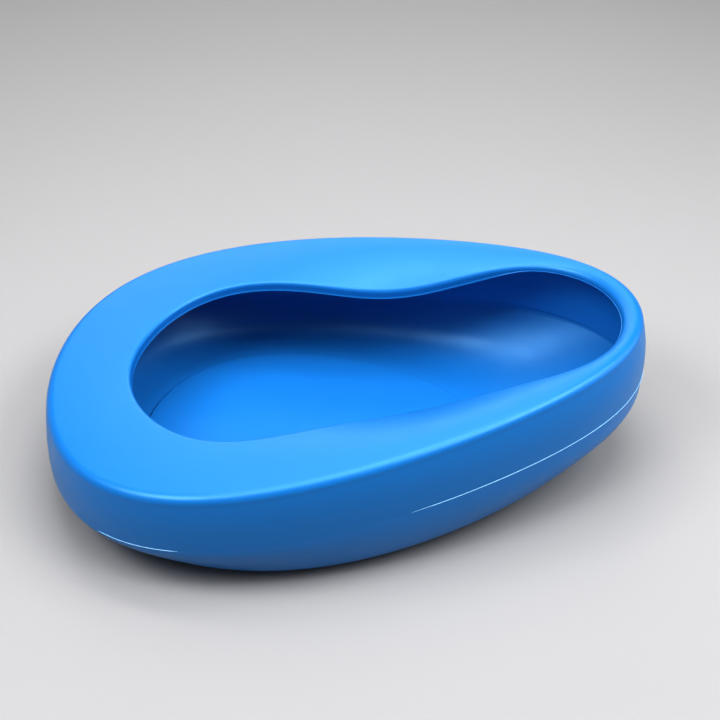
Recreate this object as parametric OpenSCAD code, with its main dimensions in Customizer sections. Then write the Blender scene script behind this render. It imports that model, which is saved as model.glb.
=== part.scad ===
// Plastic bedpan: a welded pair of thin shells, the seat above the seam line and the basin below it.
// Millimetres. +X points to the narrow front end, +Y to the far side, +Z up; the foot ring stands on Z = 0.

/* [Overall] */
// Length over the seam
body_l = 420; // [340:5:480]
// Greatest width over the seam
body_w = 300; // [240:5:360]
// Plastic thickness
wall = 2.5; // [2:0.25:4]
// Flat places round the plan outline
stations = 120; // [48:12:144]

/* [Plan outline] */
// Narrowing toward the front end
taper = 0.28; // [0:0.02:0.5]
// Fullness kept at both ends
fullness = 0.11; // [-0.1:0.01:0.3]
// Extra squareness of the two ends
end_square = 0.08; // [0:0.01:0.15]

/* [Heights] */
// Height of the seat at the wide back end
seat_z_back = 64.5; // [50:0.5:90]
// Height of the seat at the narrow front end
seat_z_front = 110.5; // [80:0.5:130]
// Rise of the seat at mid length above a straight line
seat_crown = 3.4; // [0:0.2:8]
// Height of the seam at the back end
seam_z_back = 27; // [15:0.5:50]
// Height of the seam at the front end
seam_z_front = 70.5; // [50:0.5:90]

/* [Side band] */
// How far the top edge lies inside the seam, at the back end
band_in_back = 2.6; // [0:0.2:8]
// How far the top edge lies inside the seam, at the front end
band_in_front = 4.4; // [0:0.2:8]
// Curve of the band: 1 is straight, more keeps it upright longer above the seam
band_curve = 2.5; // [1:0.5:4]
// Outer radius between the band and the seat
top_r = 6; // [4:0.5:12]

/* [Opening] */
// Position of the middle of the opening along the length
mouth_x = 21; // [0:1:50]
// Length of the opening
mouth_l = 340; // [280:2:350]
// Half width scale of the opening
mouth_half_w = 74.7; // [50:0.1:90]
// Narrowing of the opening toward the front end
mouth_taper = 0.42; // [0:0.01:0.6]
// Widening of the opening at both ends, which makes the waist
mouth_waist = 1.03; // [0:0.01:1.2]
// Uneven widening of the two ends
mouth_skew = 0.31; // [-0.5:0.01:0.5]
// Squareness taken off both ends of the opening
mouth_round = 0.51; // [0:0.01:0.8]

/* [Edge of the opening] */
// Drop of the edge at the waist
dip = 10.9; // [0:0.1:20]
// Position of the lowest place of the dip along the length
dip_x = 43; // [0:1:80]
// Length scale of the dip
dip_l = 62; // [40:1:110]
// Place across the seat where the dip starts
dip_from = 0.1; // [0:0.05:0.6]
// Drop of the edge all round
edge_drop = 1.5; // [0:0.1:5]
// Radius where the seat rolls over into the lip
edge_r = 3; // [2.75:0.25:7]
// Height of the turned-down lip round the back and the middle
lip_h_back = 4.4; // [3:0.2:14]
// Height of the lip at the narrow front end
lip_h_front = 0.9; // [0.6:0.1:14]
// Place along the length where the lip starts to get lower
lip_fade_from = 100; // [40:1:110]
// Place along the length where the lip has its front height
lip_fade_to = 145; // [120:1:160]
// How far the trimmed edge of the lip turns back toward the opening
lip_flare = 0.5; // [0:0.1:1.5]

/* [Basin wall] */
// Depth of the wall bend below the seam at the back end
bend_z_back = 5; // [4:1:16]
// Depth of the wall bend at mid length
bend_z_mid = 12; // [8:1:24]
// Depth of the wall bend at the front end
bend_z_front = 19; // [12:1:32]
// Draft of the wall above the bend
bend_draft = 0.04; // [0.01:0.01:0.2]
// Share of the upper wall taken by the bend at the back end
bend_up_back = 1; // [0.4:0.05:1]
// Share of the upper wall taken by the bend at the front end
bend_up_front = 0.35; // [0.2:0.05:1]
// Share of the lower slope taken by the bend at the back end
bend_low_back = 0.5; // [0.1:0.05:0.5]
// Share of the lower slope taken by the bend at the front end
bend_low_front = 0.1; // [0.1:0.05:0.5]
// Outward curve of the lower slope at mid length
belly_mid = 1; // [0:0.5:6]
// Outward curve of the lower slope at the front end
belly_front = 4; // [0:0.5:8]

/* [Floor and foot] */
// Position of the middle of the raised floor along the length
floor_x = -23; // [-60:0.5:0]
// Length of the raised floor
floor_l = 248; // [180:1:280]
// Half width scale of the raised floor
floor_half_w = 102.3; // [60:0.5:120]
// Narrowing of the raised floor toward the front end
floor_taper = 0.21; // [0:0.01:0.3]
// Height of the raised floor above the channel round it
floor_rise = 3; // [1:0.5:6]
// Width of the step between the channel and the raised floor
step_w = 2.5; // [1:0.5:5]
// Distance from the raised floor to the foot of the wall, at the back end
foot_out_back = 28; // [16:1:34]
// Distance from the raised floor to the foot of the wall, at mid length
foot_out_mid = 31.5; // [16:0.5:40]
// Distance from the raised floor to the foot of the wall, at the front end
foot_out_front = 42; // [20:1:46]
// Share of that distance taken by the curve into the flat foot ring
foot_curve = 0.6; // [0.4:0.05:0.75]
// Share of the lower slope taken by the curve into the foot ring
foot_up = 0.45; // [0.2:0.05:0.5]

/* [Seam] */
// Height of the tongue of the basin inside the seat shell
tongue_h = 3; // [2:0.5:5]
// How far the trimmed flash stands out of the seam
flash_out = 0.5; // [0.3:0.1:1]
// Height of the flash bead
flash_h = 0.9; // [0.6:0.1:1.5]
// First angle of the flash at the front end
flash_front_from = -10; // [-15:1:-2]
// Last angle of the flash at the front end
flash_front_to = -82; // [-100:1:-40]
// First angle of the flash at the back end
flash_back_from = -124; // [-130:1:-100]
// Last angle of the flash at the back end
flash_back_to = -143.5; // [-160:0.5:-130]

/* [Hidden] */
half_l = body_l / 2;
arc_steps = 4;
seat_steps = 8;
bend_steps = 6;
slope_steps = 2;
band_steps = 4;
foot_steps = 5;
flash_steps = 40;
tiny = 0.5; // step in degrees for directions along an outline

// Blend of two end values along the length, and of three with one at mid length; u is -1 at the back, 1 at the front.
function two(back, front, u) = (back + front) / 2 + (front - back) / 2 * u;
function three(back, mid, front, u) = mid + (front - back) / 2 * u + ((back + front) / 2 - mid) * u * u;
function lerp(a, b, s) = a + (b - a) * s;
// A curve from a to c that leaves and arrives along the lines to b.
function curve(a, b, c, s) = a * pow(1 - s, 2) + b * 2 * s * (1 - s) + c * s * s;
function unit(v) = v / norm(v);
function flat(p) = [p[0], p[1]];
function lift(p, z) = [p[0], p[1], z];

// Plan outlines by angle: 0 is the front end, 90 the far side, 180 the back end.
function egg_factor(u) = 1 - taper * u + fullness * u * u + end_square * pow(u, 4);
body_half = body_w / 2 / max([for (a = [60:0.5:120]) sin(a) * egg_factor(cos(a))]);
function body_at(a) = [half_l * cos(a), body_half * sin(a) * egg_factor(cos(a))];
function mouth_factor(u) = 1 - mouth_taper * u + mouth_waist * u * u + mouth_skew * pow(u, 3)
                             - mouth_round * pow(u, 4);
function mouth_at(a) = [mouth_x + mouth_l / 2 * cos(a), mouth_half_w * sin(a) * mouth_factor(cos(a))];
function floor_factor(u) = 1 - floor_taper * u;
function floor_at(a) = [floor_x + floor_l / 2 * cos(a), floor_half_w * sin(a) * floor_factor(cos(a))];

// Outward directions of the outlines.
function side(v) = unit([v[1], -v[0]]);
function body_side(a) = side(body_at(a + tiny) - body_at(a - tiny));
function mouth_side(a) = side(mouth_at(a + tiny) - mouth_at(a - tiny));
function floor_side(a) = side(floor_at(a + tiny) - floor_at(a - tiny));
function body_in(a, inset) = body_at(a) - body_side(a) * inset;
function mouth_out(a, off) = mouth_at(a) + mouth_side(a) * off;
function floor_out(a, off) = floor_at(a) + floor_side(a) * off;

// Heights along the length.
function seat_z(x) = two(seat_z_back, seat_z_front, x / half_l) + seat_crown * (1 - pow(x / half_l, 2));
function seam_z(x) = two(seam_z_back, seam_z_front, x / half_l);
function edge_low(x) = edge_drop + dip * exp(-pow((x - dip_x) / dip_l, 2));
function ease(s) = let (c = max(0, min(1, s))) c * c * (3 - 2 * c);
function lip_h(x) = lerp(lip_h_back, lip_h_front, ease((x - lip_fade_from) / (lip_fade_to - lip_fade_from)));

// Seat surface at angle a and place s from the top edge (0) to the start of the edge roll (1).
function seat_start(a) = body_in(a, two(band_in_back, band_in_front, cos(a)) + top_r);
function seat_plan(a, s) = lerp(seat_start(a), mouth_out(a, edge_r), s);
function dip_share(s) = s <= dip_from ? 0 : pow((s - dip_from) / (1 - dip_from), 2);
function seat_top(a, s) = let (p = seat_plan(a, s)) lift(p, seat_z(p[0]) - edge_low(p[0]) * dip_share(s));
function seat_slope(a, s) =
    let (span = norm(seat_plan(a, 1) - seat_plan(a, 0)))
    s <= dip_from ? 0 : edge_low(seat_plan(a, s)[0]) * 2 * (s - dip_from) / pow(1 - dip_from, 2) / span;
function seat_under(a, s) = seat_top(a, s) - [0, 0, wall * sqrt(1 + pow(seat_slope(a, s), 2))];

// Closed cross-section of the seat shell at angle a: up the outside, over the seat, round the lip, back underneath.
function seat_section(a) =
    let (
        inset = two(band_in_back, band_in_front, cos(a)),
        seam = body_at(a),
        zs = seam_z(seam[0]),
        arc = [for (i = [0:arc_steps]) let (
                   t = 90 * i / arc_steps,
                   p = body_in(a, inset + top_r * (1 - cos(t)))
               ) lift(p, seat_z(p[0]) - top_r * (1 - sin(t)))],
        rise = arc[0][2] - zs,
        band = [for (i = [0:band_steps - 1]) let (s = i / band_steps)
            lift(body_in(a, inset * pow(s, band_curve)), zs + rise * s)],
        seat = [for (i = [1:seat_steps]) seat_top(a, i / seat_steps)],
        slope = seat_slope(a, 1),
        roll_top = seat_top(a, 1),
        corner = lift(mouth_at(a), roll_top[2] - edge_r * slope),
        roll_end = corner - [0, 0, edge_r],
        roll = [for (i = [1:3]) curve(roll_top, corner, roll_end, i / 3)],
        drop = lip_h(roll_end[0]),
        z_low = roll_end[2] - drop,
        cut = min(wall, drop) / 4,
        lip = [lift(mouth_out(a, 0), z_low + 3 * cut), lift(mouth_out(a, -lip_flare), z_low + cut),
               lift(mouth_out(a, cut - lip_flare), z_low),
               lift(mouth_out(a, wall - cut), z_low), lift(mouth_out(a, wall), z_low + cut)],
        back = [lift(mouth_out(a, wall), roll_end[2])],
        under = [for (i = [seat_steps:-1:0]) seat_under(a, i / seat_steps)],
        inner_r = top_r - wall,
        arc_in = [for (i = [2:-1:0]) let (
                      t = 90 * i / 3,
                      p = body_in(a, inset + top_r - inner_r * cos(t))
                  ) lift(p, seat_z(p[0]) - top_r + inner_r * sin(t))],
        band_in = [for (i = [2:-1:0]) let (
                       s = lerp(tongue_h / rise, 1, i / 3)
                   ) lift(body_in(a, wall + inset * pow(s, band_curve)), zs + rise * s)],
        rim = [lift(body_in(a, wall / 2), zs + tongue_h), lift(body_in(a, wall / 2), zs)]
    )
    concat(band, arc, seat, roll, lip, back, under, arc_in, band_in, rim);

// Outside of the basin at angle a, from the seam down to the flat foot ring.
function basin_outside(a) =
    let (
        u = cos(a),
        depth = three(bend_z_back, bend_z_mid, bend_z_front, u),
        seam = body_at(a),
        zs = seam_z(seam[0]),
        top = lift(seam, zs),
        bend = lift(body_in(a, bend_draft * depth), zs - depth),
        reach = three(foot_out_back, foot_out_mid, foot_out_front, u),
        foot = lift(floor_out(a, reach), 0),
        ring = lift(floor_out(a, reach * (1 - foot_curve)), 0),
        belly = lift(body_side(a), 0) * three(0, belly_mid, belly_front, u),
        slope = function (s) lerp(bend, foot, s) + belly * 4 * s * (1 - s),
        bend_a = lerp(bend, top, two(bend_up_back, bend_up_front, u)),
        low = two(bend_low_back, bend_low_front, u),
        high = 1 - foot_up
    )
    concat([top], [for (i = [0:bend_steps]) curve(bend_a, bend, slope(low), (i + 0.5) / (bend_steps + 0.5))],
           [for (i = [1:slope_steps]) slope(lerp(low, high, i / (slope_steps + 1)))],
           [for (i = [0:foot_steps]) curve(slope(high), foot, ring, i / foot_steps)]);

// The same wall one thickness further in: each point moves square to the line through its neighbours.
function basin_inside(a) =
    let (out = basin_outside(a), last = len(out) - 1)
    [for (i = [1:last]) let (
         along = out[min(i + 1, last)] - out[i - 1],
         level = unit(flat(along)),
         inward = unit([-along[2] * level[0], -along[2] * level[1], norm(flat(along))])
     ) i == last ? out[i] + [0, 0, wall] : out[i] + inward * wall];

// Rings of the basin at angle a: rim, outside, foot ring, recess, then the floor, channel, inside and back to the rim.
function basin_section(a) =
    let (
        inside = basin_inside(a),
        zs = seam_z(body_at(a)[0]),
        soft = step_w / 5,
        shift = wall * 2 / 3,
        recess = [lift(floor_out(a, step_w - shift), 0), lift(floor_out(a, step_w - shift - soft), soft / 2),
                  lift(floor_out(a, soft - shift), floor_rise - soft / 2), lift(floor_out(a, -shift), floor_rise)],
        plate = [lift(floor_out(a, 0), wall + floor_rise), lift(floor_out(a, soft), wall + floor_rise - soft / 2),
                 lift(floor_out(a, step_w - soft), wall + soft / 2), lift(floor_out(a, step_w), wall)],
        rim = [lift(body_in(a, wall), zs + tongue_h), lift(body_in(a, wall / 2), zs + tongue_h),
               lift(body_in(a, wall / 2), zs)]
    )
    [basin_outside(a), recess, plate, [for (i = [len(inside) - 1:-1:0]) inside[i]], rim];

// Skin between neighbouring rows of equal length; wrap closes each row on itself.
function quad(a, b, c, d) = [[a, b, c], [a, c, d]];
function flat_list(lists) = [for (l = lists) for (e = l) e];

// A closed loop of points carried round the outline.
module swept_ring(sections) {
    n = len(sections);
    m = len(sections[0]);
    polyhedron(
        points = flat_list(sections),
        faces = flat_list([for (i = [0:n - 1]) for (j = [0:m - 1])
            quad(i * m + j, i * m + (j + 1) % m, (i + 1) % n * m + (j + 1) % m, (i + 1) % n * m + j)]),
        convexity = 8
    );
}

// Rows that start at one middle point, run out and come back to another middle point.
module swept_bowl(sections, first_mid, last_mid) {
    n = len(sections);
    m = len(sections[0]);
    count = n * m;
    polyhedron(
        points = concat(flat_list(sections), [first_mid, last_mid]),
        faces = concat(
            flat_list([for (i = [0:n - 1]) for (j = [0:m - 2])
                quad(i * m + j, i * m + j + 1, (i + 1) % n * m + j + 1, (i + 1) % n * m + j)]),
            [for (i = [0:n - 1]) [count, i * m, (i + 1) % n * m]],
            [for (i = [0:n - 1]) [count + 1, (i + 1) % n * m + m - 1, i * m + m - 1]]
        ),
        convexity = 8
    );
}

// A closed loop of points carried along an open line, with flat ends.
module swept_bead(sections) {
    n = len(sections);
    m = len(sections[0]);
    polyhedron(
        points = flat_list(sections),
        faces = concat(
            flat_list([for (i = [0:n - 2]) for (j = [0:m - 1])
                quad(i * m + j, i * m + (j + 1) % m, (i + 1) * m + (j + 1) % m, (i + 1) * m + j)]),
            [[for (j = [m - 1:-1:0]) j], [for (j = [0:m - 1]) (n - 1) * m + j]]
        ),
        convexity = 4
    );
}

angles = [for (i = [0:stations - 1]) 360 * i / stations];

module seat_shell()
    color("#2f96ee")
        swept_ring([for (a = angles) seat_section(a)]);

module basin_shell() {
    // Each section runs from the raised floor out to the rim inside, then down the outside to the recess.
    sections = [for (a = angles) let (s = basin_section(a)) concat(s[2], s[3], s[4], s[0], s[1])];
    color("#1f6fc4")
        swept_bowl(sections, [floor_x, 0, wall + floor_rise], [floor_x, 0, floor_rise]);
}

module flash_run(from, to) {
    steps = flash_steps;
    swept_bead([for (i = [0:steps]) let (
        a = lerp(from, to, i / steps),
        grow = flash_out * (0.25 + 0.75 * sin(180 * i / steps)),
        z = seam_z(body_at(a)[0])
    ) [lift(body_in(a, 0), z - flash_h / 2), lift(body_in(a, -grow), z - flash_h / 5),
       lift(body_in(a, -grow), z + flash_h / 5), lift(body_in(a, 0), z + flash_h / 2)]]);
}

module seam_flash()
    color("#bfe0f8") {
        flash_run(flash_front_from, flash_front_to);
        flash_run(flash_back_from, flash_back_to);
    }

seat_shell();
basin_shell();
seam_flash();
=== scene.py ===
"""Bedpan: fine shells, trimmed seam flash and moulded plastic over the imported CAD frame.

Sizes of the pan are in millimetres and are turned into metres when a mesh is made. The stage, the lights and
the camera are in metres. The frame is the CAD's: +X to the narrow front end, +Y to the far side, +Z up.
"""
import math
import random

import bmesh
import bpy
import numpy as np
from mathutils import Matrix, Vector


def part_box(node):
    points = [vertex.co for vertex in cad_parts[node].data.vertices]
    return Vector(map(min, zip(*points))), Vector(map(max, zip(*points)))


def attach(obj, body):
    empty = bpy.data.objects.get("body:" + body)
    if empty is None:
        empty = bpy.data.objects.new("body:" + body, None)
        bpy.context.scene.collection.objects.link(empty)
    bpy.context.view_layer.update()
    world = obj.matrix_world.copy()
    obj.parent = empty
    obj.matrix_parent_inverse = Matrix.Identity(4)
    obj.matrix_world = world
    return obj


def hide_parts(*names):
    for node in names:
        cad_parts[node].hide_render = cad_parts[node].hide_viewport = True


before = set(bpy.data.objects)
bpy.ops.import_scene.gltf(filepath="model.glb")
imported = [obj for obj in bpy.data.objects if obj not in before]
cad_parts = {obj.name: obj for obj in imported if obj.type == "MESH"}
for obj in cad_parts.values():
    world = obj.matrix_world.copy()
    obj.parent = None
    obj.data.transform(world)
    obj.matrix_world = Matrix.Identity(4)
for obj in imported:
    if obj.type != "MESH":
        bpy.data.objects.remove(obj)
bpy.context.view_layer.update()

MM = 0.001
random.seed(11)

# ---------------------------------------------------------------- sizes, in millimetres
seam_low, seam_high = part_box("basin_shell")
HALF_L = (seam_high[0] - seam_low[0]) / 2 / MM
HALF_W = (seam_high[1] - seam_low[1]) / 2 / MM
TAPER, FULLNESS, END_SQUARE = 0.28, 0.11, 0.08
WALL = 2.5
TOP_Z, CROWN = (64.5, 110.5), 3.4    # back and front; how far the middle stands above the line between them
SEAM_Z = (27.0, 70.5)
BAND_IN = (2.6, 4.4)
BAND_POWER = 2.5
TOP_R = 6.0
MOUTH = dict(x=21.0, half_l=170.0, half_w=74.7, factors=(-0.42, 1.03, 0.31, -0.51))
FLOOR = dict(x=-23.0, half_l=124.0, half_w=102.3, factors=(-0.21,))
DIP, DIP_X, DIP_L, DIP_FROM, EDGE_DROP = 10.9, 43.0, 62.0, 0.1, 1.5
EDGE_R, LIP_FLARE, FLARE_FROM = 3.0, 0.5, 0.6
LIP_END = 0.55                      # how far the rounded end of the lip bulges down
LIP_H, LIP_FADE = (4.4, 0.9), (100.0, 145.0)   # back, front, and where one blends into the other
BEND_Z, BEND_DRAFT = (5.0, 12.0, 19.0), 0.04
BEND_UP, BEND_LOW = (1.0, 0.35), (0.5, 0.1)
CREASE_UP, CREASE_LOW = (1.0, 0.1), (0.5, 0.03)   # the same bend on the inside, where it shows as a crease
BELLY = (0.0, 1.0, 4.0)
FOOT_OUT, FOOT_TURN = (28.0, 31.5, 42.0), (0.6, 0.45)
FOOT_TURN_IN = (0.52, 0.36)         # a little tighter on the inside, where the channel ends
FLOOR_RISE, STEP_W = 3.0, 2.5
STEP_SOFT = 0.5                     # rounding of the panel's edge
TONGUE = 3.0
SAME_ROW = 0.02                     # rows closer than this count as one
STATIONS = 480
SHARP_ANGLE = 40                    # degrees; corners sharper than this keep a crisp edge

# Seam flash: where it runs, in degrees round the outline, and how far it stands out and up at its fullest.
FLASH_FRONT, FLASH_BACK = (-10, -82), (-124, -143.5)
FLASH_OUT, FLASH_HALF, FLASH_LEAST, FLASH_BACKED = 0.34, 0.24, (0.05, 0.04), 0.3

ANGLES = np.radians(np.arange(STATIONS) * 360.0 / STATIONS)


def two(ends, u):
    return (ends[0] + ends[1]) / 2 + (ends[1] - ends[0]) / 2 * u


def three(values, u):
    back, mid, front = values
    return mid + (front - back) / 2 * u + ((back + front) / 2 - mid) * u * u


def body_factor(u):
    return 1 - TAPER * u + FULLNESS * u ** 2 + END_SQUARE * u ** 4


PEAK = max(math.sin(math.radians(a)) * body_factor(math.cos(math.radians(a)))
           for a in np.arange(60, 120, 0.25))


def body_at(t):
    u = np.cos(t)
    return np.stack([HALF_L * u, HALF_W / PEAK * np.sin(t) * body_factor(u)], -1)


def egg_at(shape, t):
    u = np.cos(t)
    factor = 1 + sum(k * u ** (i + 1) for i, k in enumerate(shape["factors"]))
    return np.stack([shape["x"] + shape["half_l"] * u, shape["half_w"] * np.sin(t) * factor], -1)


def outward(outline, t):
    h = 1e-4
    d = outline(t + h) - outline(t - h)
    n = np.stack([d[:, 1], -d[:, 0]], -1)
    return n / np.linalg.norm(n, axis=1)[:, None]


def shifted(outline, t, off):
    return outline(t) + outward(outline, t) * np.reshape(off, (-1, 1))


def body_in(t, inset):
    return shifted(body_at, t, -np.broadcast_to(inset, t.shape))


def mouth_out(t, off):
    return shifted(lambda a: egg_at(MOUTH, a), t, np.broadcast_to(off, t.shape))


def floor_out(t, off):
    return shifted(lambda a: egg_at(FLOOR, a), t, np.broadcast_to(off, t.shape))


def seat_z(x):
    u = x / HALF_L
    return two(TOP_Z, u) + CROWN * (1 - u * u)


def seam_z(x):
    return two(SEAM_Z, x / HALF_L)


def edge_low(x):
    return EDGE_DROP + DIP * np.exp(-((x - DIP_X) / DIP_L) ** 2)


def lip_h(x):
    s = np.clip((x - LIP_FADE[0]) / (LIP_FADE[1] - LIP_FADE[0]), 0, 1)
    return LIP_H[0] + (LIP_H[1] - LIP_H[0]) * s * s * (3 - 2 * s)


def lift(p, z):
    return np.concatenate([p, np.broadcast_to(z, p.shape[:1])[:, None]], 1)


def curve(a, b, c, s):
    return a * (1 - s) ** 2 + b * 2 * s * (1 - s) + c * s * s


# ---------------------------------------------------------------- seat shell
def seat_point(t, s):
    start = body_in(t, two(BAND_IN, np.cos(t)) + TOP_R)
    end = mouth_out(t, EDGE_R)
    p = start + (end - start) * s
    share = 0 if s <= DIP_FROM else ((s - DIP_FROM) / (1 - DIP_FROM)) ** 2
    low = edge_low(p[:, 0])
    span = np.linalg.norm(end - start, axis=1)
    slope = 0 * low if s <= DIP_FROM else low * 2 * (s - DIP_FROM) / (1 - DIP_FROM) ** 2 / span
    return lift(p, seat_z(p[:, 0]) - low * share), slope


def seat_rows():
    """Up the band, over the edge, across the seat, down the lip, and back along the inside to the seam."""
    t = ANGLES
    inset = two(BAND_IN, np.cos(t))
    seam = body_at(t)
    zs = seam_z(seam[:, 0])
    rows = []
    arc = []
    for a in np.linspace(0, math.pi / 2, 16):
        p = body_in(t, inset + TOP_R * (1 - math.cos(a)))
        arc.append(lift(p, seat_z(p[:, 0]) - TOP_R * (1 - math.sin(a))))
    for s in np.linspace(0, 1, 22)[:-1]:
        p = body_in(t, inset * s ** BAND_POWER)
        rows.append(lift(p, zs + (arc[0][:, 2] - zs) * s))
    rows += arc
    for s in np.linspace(0, 1, 44)[1:]:
        rows.append(seat_point(t, s)[0])
    top, slope = seat_point(t, 1.0)
    corner = lift(egg_at(MOUTH, t), top[:, 2] - EDGE_R * slope)
    end = corner - np.array([0, 0, EDGE_R])
    for s in np.linspace(0, 1, 12)[1:]:
        rows.append(curve(top, corner, end, s))
    # The lip drops straight, then its trimmed edge turns a little back toward the opening.
    z_low = end[:, 2] - lip_h(end[:, 0])
    for s in np.linspace(0, 1, 9)[1:]:
        flare = LIP_FLARE * max(0.0, (s - FLARE_FROM) / (1 - FLARE_FROM)) ** 2
        rows.append(lift(mouth_out(t, -flare), end[:, 2] + (z_low + LIP_END - end[:, 2]) * s))
    for a in np.linspace(0, math.pi, 9)[1:]:
        off = WALL / 2 - (WALL / 2) * math.cos(a) - LIP_FLARE * (1 + math.cos(a)) / 2
        rows.append(lift(mouth_out(t, off), z_low + LIP_END - LIP_END * math.sin(a)))
    for s in np.linspace(0, 1, 5)[1:]:
        rows.append(lift(mouth_out(t, WALL), z_low + LIP_END + (end[:, 2] - z_low - LIP_END) * s))
    for s in np.linspace(1, 0, 26):
        p, slope = seat_point(t, s)
        rows.append(lift(p[:, :2], p[:, 2] - WALL * np.sqrt(1 + slope ** 2)))
    inner_r = TOP_R - WALL
    for a in np.linspace(math.pi / 2, 0, 8)[1:]:
        p = body_in(t, inset + TOP_R - inner_r * math.cos(a))
        rows.append(lift(p, seat_z(p[:, 0]) - TOP_R + inner_r * math.sin(a)))
    top_in = rows[-1][:, 2]
    for s in np.linspace(1, 0, 14)[1:]:
        z = zs + TONGUE + (top_in - zs - TONGUE) * s
        share = np.clip((z - zs) / (arc[0][:, 2] - zs), 0, 1)
        rows.append(lift(body_in(t, WALL + inset * share ** BAND_POWER), z))
    rows.append(lift(body_in(t, WALL / 2), zs + TONGUE))
    rows.append(lift(body_in(t, WALL / 2), zs))
    return rows


# ---------------------------------------------------------------- basin shell
def basin_outside(t, up=BEND_UP, low=BEND_LOW, turn=FOOT_TURN):
    """From the seam down to the bend, along the bellied wall, and round the foot's turn on to its ring."""
    u = np.cos(t)
    depth = three(BEND_Z, u)
    seam = body_at(t)
    zs = seam_z(seam[:, 0])
    top = lift(seam, zs)
    bend = lift(body_in(t, BEND_DRAFT * depth), zs - depth)
    reach = three(FOOT_OUT, u)
    foot = lift(floor_out(t, reach), 0.0)
    ring = lift(floor_out(t, reach * (1 - turn[0])), 0.0)
    side = np.concatenate([outward(body_at, t), np.zeros((len(t), 1))], 1)

    def lower(s):
        return bend + (foot - bend) * s + side * three(BELLY, u)[:, None] * 4 * s * (1 - s)

    bend_a = bend + (top - bend) * two(up, u)[:, None]
    low_share = two(low, u)[:, None]
    bend_b = lower(low_share)
    foot_a = lower(1 - turn[1])
    rows = [top + (bend_a - top) * s for s in np.linspace(0, 1, 5)[:-1]]
    rows += [curve(bend_a, bend, bend_b, s) for s in np.linspace(0, 1, 18)]
    rows += [lower(low_share + (1 - turn[1] - low_share) * s) for s in np.linspace(0, 1, 12)[1:-1]]
    rows += [curve(foot_a, foot, ring, s) for s in np.linspace(0, 1, 16)]
    keep = [rows[0]]
    for r in rows[1:]:
        if np.linalg.norm(r - keep[-1], axis=1).min() > SAME_ROW:
            keep.append(r)
    return keep


def basin_inside(out):
    """The outside rows moved one wall inward, square to the section."""
    rows = []
    for i in range(1, len(out)):
        along = out[min(i + 1, len(out) - 1)] - out[i - 1]
        run = np.linalg.norm(along[:, :2], axis=1)
        level = along[:, :2] / np.maximum(run, 1e-9)[:, None]
        inward = np.concatenate([-along[:, 2:3] * level, run[:, None]], 1)
        inward /= np.linalg.norm(inward, axis=1)[:, None]
        rows.append(out[i] + inward * WALL if i < len(out) - 1 else out[i] + np.array([0, 0, WALL]))
    return rows


def basin_rows():
    """The raised floor panel, its step, the inside wall, the tongue, the outside wall and the recess."""
    t = ANGLES
    out = basin_outside(t)
    inside = basin_inside(basin_outside(t, CREASE_UP, CREASE_LOW, FOOT_TURN_IN))
    zs = seam_z(body_at(t)[:, 0])
    centre = np.array([FLOOR["x"], 0.0])

    def plate(z, spread):
        edge = egg_at(FLOOR, t)
        return [lift(centre + (edge - centre) * s, z) for s in spread]

    soft = STEP_SOFT
    rows = plate(WALL + FLOOR_RISE, (0.02, 0.1, 0.25, 0.45, 0.65, 0.8, 0.9, 0.96))
    # How far out and how far down: rounded over the top edge, then rounded out at the foot of the step.
    steps = [(-0.6, 0.0), (-0.15, -0.04), (0.2, -0.16), (soft, -0.45),
             (STEP_W - soft, -FLOOR_RISE + 0.45), (STEP_W - 0.1, -FLOOR_RISE + 0.14),
             (STEP_W + 0.35, -FLOOR_RISE + 0.02), (STEP_W + 1.0, -FLOOR_RISE)]
    rows += [lift(floor_out(t, off), WALL + FLOOR_RISE + dz) for off, dz in steps]
    last_out = rows[-1]
    first_in = inside[-1]
    rows += [last_out + (first_in - last_out) * s for s in (0.33, 0.66)]
    rows += inside[::-1]
    rows += [lift(body_in(t, WALL), zs + TONGUE), lift(body_in(t, WALL / 2), zs + TONGUE),
             lift(body_in(t, WALL / 2), zs)]
    rows += out
    shift = WALL * 2 / 3                # the recess's edge stands this far inside the panel's
    under = [(STEP_W - shift + 0.6, 0.0), (STEP_W - shift, 0.06), (STEP_W - shift - soft, 0.4),
             (soft - shift, FLOOR_RISE - 0.4), (-shift - 0.1, FLOOR_RISE - 0.05), (-shift - 0.8, FLOOR_RISE)]
    rows += [lift(floor_out(t, off), z) for off, z in under]
    rows += plate(FLOOR_RISE, (0.9, 0.7, 0.4, 0.1, 0.02))
    return rows


# ---------------------------------------------------------------- meshes
def smooth_object(name, verts, faces, sharp_angle=None):
    mesh = bpy.data.meshes.new(name)
    mesh.from_pydata(verts, [], faces)
    mesh.validate()
    mesh.polygons.foreach_set("use_smooth", [True] * len(mesh.polygons))
    if sharp_angle is not None:
        mesh.update()
        mesh.set_sharp_from_angle(angle=math.radians(sharp_angle))
    obj = bpy.data.objects.new(name, mesh)
    bpy.context.collection.objects.link(obj)
    return obj


def grid_mesh(name, rows, closed_section, middle=()):
    """Quads between neighbouring rows and stations, closed on themselves or capped at two middle points."""
    m, n = len(rows), len(rows[0])
    verts = np.concatenate(rows) * MM
    i = np.arange(n)
    k = (i + 1) % n
    faces = []
    for j in range(m if closed_section else m - 1):
        a = j * n
        b = (j + 1) % m * n
        faces += np.stack([a + i, a + k, b + k, b + i], 1).tolist()
    verts = verts.tolist()
    for row, point, flip in middle:
        verts.append([v * MM for v in point])
        c = len(verts) - 1
        first, second = (k, i) if flip else (i, k)
        faces += [[c, row * n + p, row * n + q] for p, q in zip(first, second)]
    return smooth_object(name, verts, faces, SHARP_ANGLE)


def outward_normals(obj):
    bm = bmesh.new()
    bm.from_mesh(obj.data)
    bmesh.ops.recalc_face_normals(bm, faces=bm.faces)
    bm.to_mesh(obj.data)
    bm.free()


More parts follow.
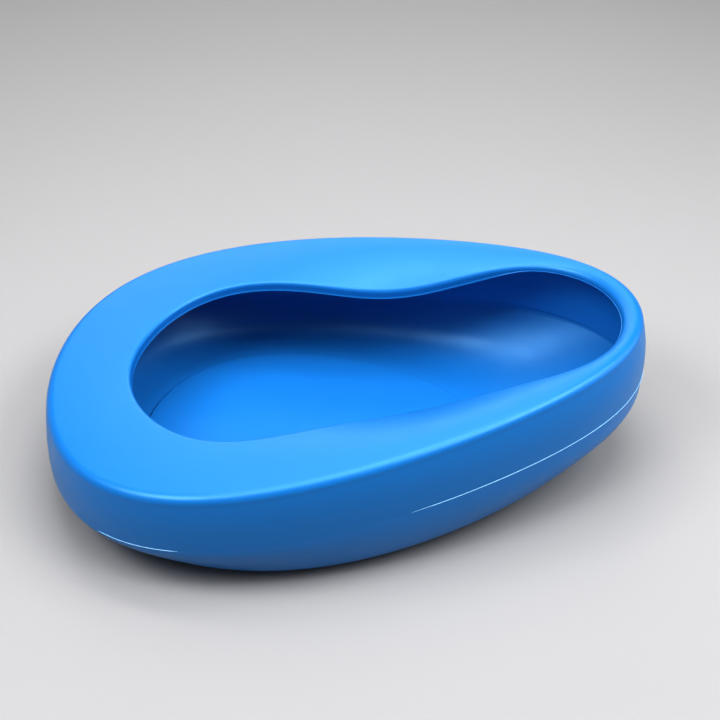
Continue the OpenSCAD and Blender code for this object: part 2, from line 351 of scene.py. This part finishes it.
seat = grid_mesh("seat_moulding", seat_rows(), True)
outward_normals(seat)
rows = basin_rows()
panel_middle = (0, (FLOOR["x"], 0, WALL + FLOOR_RISE), False)
recess_middle = (len(rows) - 1, (FLOOR["x"], 0, FLOOR_RISE), True)
basin = grid_mesh("basin_moulding", rows, False, [panel_middle, recess_middle])
outward_normals(basin)


def flash_rows(a_from, a_to, count):
    """A thin ragged bead along the seam, thicker in a few places where the trim left more."""
    t = np.radians(np.linspace(a_from, a_to, count))
    s = np.linspace(0, 1, count)
    ends = np.clip(np.minimum(s, 1 - s) * 14, 0, 1)
    ragged = np.array([random.uniform(0.55, 1.0) for _ in range(count)])
    ragged = np.convolve(ragged, [0.25, 0.5, 0.25], "same")
    stand = FLASH_OUT * ends * ragged + FLASH_LEAST[0]
    half = FLASH_HALF * (0.45 + 0.55 * ends) * np.convolve(ragged, np.ones(5) / 5, "same") + FLASH_LEAST[1]
    z = seam_z(body_at(t)[:, 0])
    # The bead's section: how far out, as a share of its stand, and how high, as a share of its half height.
    section = [(-0.3, -1.0), (0.35, -0.9), (0.9, -0.45), (1.0, 0.1), (0.75, 0.6), (0.3, 0.95), (-0.3, 1.0)]
    return [lift(body_in(t, -stand * o if o > 0 else FLASH_BACKED), z + half * h) for o, h in section]


def strip_mesh(name, rows_list):
    """Open strips with a closed section, capped at both ends, as one mesh."""
    verts, faces = [], []
    for rows in rows_list:
        m, n = len(rows), len(rows[0])
        base = len(verts)
        verts += (np.concatenate(rows) * MM).tolist()
        for j in range(m):
            a = base + j * n
            b = base + (j + 1) % m * n
            faces += [[a + i, a + i + 1, b + i + 1, b + i] for i in range(n - 1)]
        faces.append([base + j * n for j in range(m)][::-1])
        faces.append([base + j * n + n - 1 for j in range(m)])
    return smooth_object(name, verts, faces)


flash = strip_mesh("seam_flash_bead", [flash_rows(*FLASH_FRONT, 460), flash_rows(*FLASH_BACK, 150)])
outward_normals(flash)


# ---------------------------------------------------------------- materials
CLOUDINESS = 0.04
WAVE_DEPTH, GRAIN_DEPTH = 0.0006, 0.00008          # metres


def plastic(name, base, rough=0.36):
    """Moulded plastic: faint cloudiness of colour, smeared gloss, slow waviness and a fine moulding grain."""
    mat = bpy.data.materials.new(name)
    mat.use_nodes = True
    nt = mat.node_tree
    bsdf = nt.nodes["Principled BSDF"]
    coord = nt.nodes.new("ShaderNodeTexCoord")

    def noise(scale, detail):
        n = nt.nodes.new("ShaderNodeTexNoise")
        n.inputs["Scale"].default_value = scale
        n.inputs["Detail"].default_value = detail
        n.inputs["Roughness"].default_value = 0.5
        nt.links.new(coord.outputs["Object"], n.inputs["Vector"])
        return n.outputs["Fac"]

    def ramp(source, from_min, from_max, to_min, to_max):
        r = nt.nodes.new("ShaderNodeMapRange")
        r.inputs["From Min"].default_value = from_min
        r.inputs["From Max"].default_value = from_max
        r.inputs["To Min"].default_value = to_min
        r.inputs["To Max"].default_value = to_max
        nt.links.new(source, r.inputs["Value"])
        return r.outputs["Result"]

    def bump(height, strength, distance):
        n = nt.nodes.new("ShaderNodeBump")
        n.inputs["Strength"].default_value = strength
        n.inputs["Distance"].default_value = distance
        nt.links.new(height, n.inputs["Height"])
        return n

    mix = nt.nodes.new("ShaderNodeMix")
    mix.data_type = "RGBA"
    mix.inputs["A"].default_value = (*[c * (1 - CLOUDINESS) for c in base], 1)
    mix.inputs["B"].default_value = (*[min(1.0, c * (1 + CLOUDINESS)) for c in base], 1)
    nt.links.new(noise(9.0, 3.0), mix.inputs["Factor"])
    nt.links.new(mix.outputs["Result"], bsdf.inputs["Base Color"])
    smear = ramp(noise(60.0, 5.0), 0.3, 0.7, rough - 0.03, rough + 0.04)
    nt.links.new(smear, bsdf.inputs["Roughness"])
    wave = bump(noise(28.0, 2.0), 0.15, WAVE_DEPTH)
    grain = bump(noise(2600.0, 2.0), 0.2, GRAIN_DEPTH)
    nt.links.new(wave.outputs["Normal"], grain.inputs["Normal"])
    nt.links.new(grain.outputs["Normal"], bsdf.inputs["Normal"])
    bsdf.inputs["IOR"].default_value = 1.49
    bsdf.inputs["Specular IOR Level"].default_value = 0.7
    bsdf.inputs["Specular Tint"].default_value = (0.40, 0.75, 1.0, 1)
    return mat


BLUE = (0.006, 0.140, 0.400)
BLUE_PAINTED_LIGHT_INSIDE = (0.008, 0.150, 0.430)   # painted light: the seat's own plastic made a touch lighter on the whole basin, to brighten the shaded inside of the pan
seat_mat = plastic("seat_polypropylene", BLUE)
# The basin's lighter blue is painted light for its shaded inside; the plastic itself is the same as the
# seat's.
basin_mat = plastic("basin_polypropylene", BLUE_PAINTED_LIGHT_INSIDE)
flash_mat = plastic("whitened_flash", (0.30, 0.55, 0.75), rough=0.55)
for obj, mat, node, slot_name in ((seat, seat_mat, "seat_shell", "seat_plastic"),
                                  (basin, basin_mat, "basin_shell", "basin_plastic"),
                                  (flash, flash_mat, "seam_flash", "seam_whitening")):
    obj.data.materials.append(mat)
    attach(obj, "root")
    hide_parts(node)


# ---------------------------------------------------------------- stage, light, camera
SWEEP_FLAT, SWEEP_TURN, SWEEP_H = 1.5, 0.6, 2.4    # metres


def paper_sweep():
    """A round sheet of paper that turns up into a wall all round, outside the main view."""
    steps = 96
    turn = [(SWEEP_FLAT + SWEEP_TURN * math.sin(a), SWEEP_TURN * (1 - math.cos(a)))
            for a in np.linspace(0, math.pi / 2, 14)]
    profile = [(0.5, 0.0), (1.0, 0.0)] + turn + [(SWEEP_FLAT + SWEEP_TURN, SWEEP_H)]
    spokes = [(math.cos(k * math.tau / steps), math.sin(k * math.tau / steps)) for k in range(steps)]
    verts = [(0.0, 0.0, 0.0)]
    for r, z in profile:
        verts += [(r * c, r * s, z) for c, s in spokes]
    faces = [(0, 1 + k, 1 + (k + 1) % steps) for k in range(steps)]
    for j in range(len(profile) - 1):
        p = 1 + j * steps
        q = p + steps
        faces += [(p + k, q + k, q + (k + 1) % steps, p + (k + 1) % steps) for k in range(steps)]
    mesh = bpy.data.meshes.new("floor")
    mesh.from_pydata(verts, [], faces)
    mesh.polygons.foreach_set("use_smooth", [True] * len(mesh.polygons))
    obj = bpy.data.objects.new("floor", mesh)
    bpy.context.collection.objects.link(obj)
    mat = bpy.data.materials.new("pale_floor")
    mat.use_nodes = True
    nt = mat.node_tree
    bsdf = nt.nodes["Principled BSDF"]
    bsdf.inputs["Roughness"].default_value = 0.6
    bsdf.inputs["Specular IOR Level"].default_value = 0.2
    coord = nt.nodes.new("ShaderNodeTexCoord")
    n = nt.nodes.new("ShaderNodeTexNoise")
    n.inputs["Scale"].default_value = 3.0
    nt.links.new(coord.outputs["Object"], n.inputs["Vector"])
    mix = nt.nodes.new("ShaderNodeMix")
    mix.data_type = "RGBA"
    mix.inputs["A"].default_value = (0.268, 0.266, 0.268, 1)
    mix.inputs["B"].default_value = (0.278, 0.275, 0.280, 1)
    nt.links.new(n.outputs["Fac"], mix.inputs["Factor"])
    nt.links.new(mix.outputs["Result"], bsdf.inputs["Base Color"])
    obj.data.materials.append(mat)


paper_sweep()


def area(name, where, target, size, power):
    light = bpy.data.lights.new(name, "AREA")
    light.shape = "RECTANGLE"
    light.size, light.size_y = size
    light.energy = power
    obj = bpy.data.objects.new(name, light)
    bpy.context.collection.objects.link(obj)
    obj.location = where
    obj.rotation_euler = (Vector(target) - Vector(where)).to_track_quat("-Z", "Y").to_euler()


# A ceiling of soft panels: x, y and watts of each, aimed part of the way in to the middle.
PANELS = ((-0.9, -0.30, 20.5), (0.9, -0.30, 17.5), (0.9, -0.85, 8.0), (-0.9, -0.85, 2.0),
          (0.0, -0.30, 11.5), (0.0, 0.25, 3.0), (0.0, 0.80, 5.0))
PANEL_Z, PANEL_AIM = 1.25, 0.3
for x, y, power in PANELS:
    area("panel", (x, y, PANEL_Z), (x * PANEL_AIM, y * PANEL_AIM, 0), (0.9, 0.55), power)
area("edge_strip", (0.1, 0.20, PANEL_Z), (0, 0, 0), (1.0, 0.15), 6)
area("side_fill", (1.6, 0, 0.7), (0, 0, 0.05), (1.2, 0.7), 8)
area("back_fill", (0, 1.7, 0.9), (0, 0, 0.05), (1.6, 0.7), 8)
world = bpy.data.worlds.new("studio")
bpy.context.scene.world = world
world.use_nodes = True
world.node_tree.nodes["Background"].inputs["Color"].default_value = (0.96, 0.98, 1.0, 1)
world.node_tree.nodes["Background"].inputs["Strength"].default_value = 0.01


def camera(az, el, dist, target, lens, shift):
    """A camera that looks at the target from an angle round it and an angle above it, both in degrees."""
    cam = bpy.data.cameras.new("view")
    cam.lens = lens
    cam.sensor_width = 36
    cam.shift_x, cam.shift_y = shift
    cam.clip_start, cam.clip_end = 0.01, 50
    obj = bpy.data.objects.new("view", cam)
    bpy.context.collection.objects.link(obj)
    a, e = math.radians(az), math.radians(el)
    back = Vector((math.sin(a) * math.cos(e), -math.cos(a) * math.cos(e), math.sin(e)))
    right = Vector((math.cos(a), math.sin(a), 0))
    up = back.cross(right)
    m = Matrix((right, up, back)).transposed().to_4x4()
    m.translation = Vector(target) + back * dist
    obj.matrix_world = m
    bpy.context.scene.camera = obj


camera(az=-5.2, el=37.47, dist=0.9065, target=(0, 0, 0.045), lens=63.64, shift=(0.02043, 0.04326))
bpy.context.scene.view_settings.view_transform = "Standard"
bpy.context.scene.view_settings.gamma = 0.8     # deepens the shadows
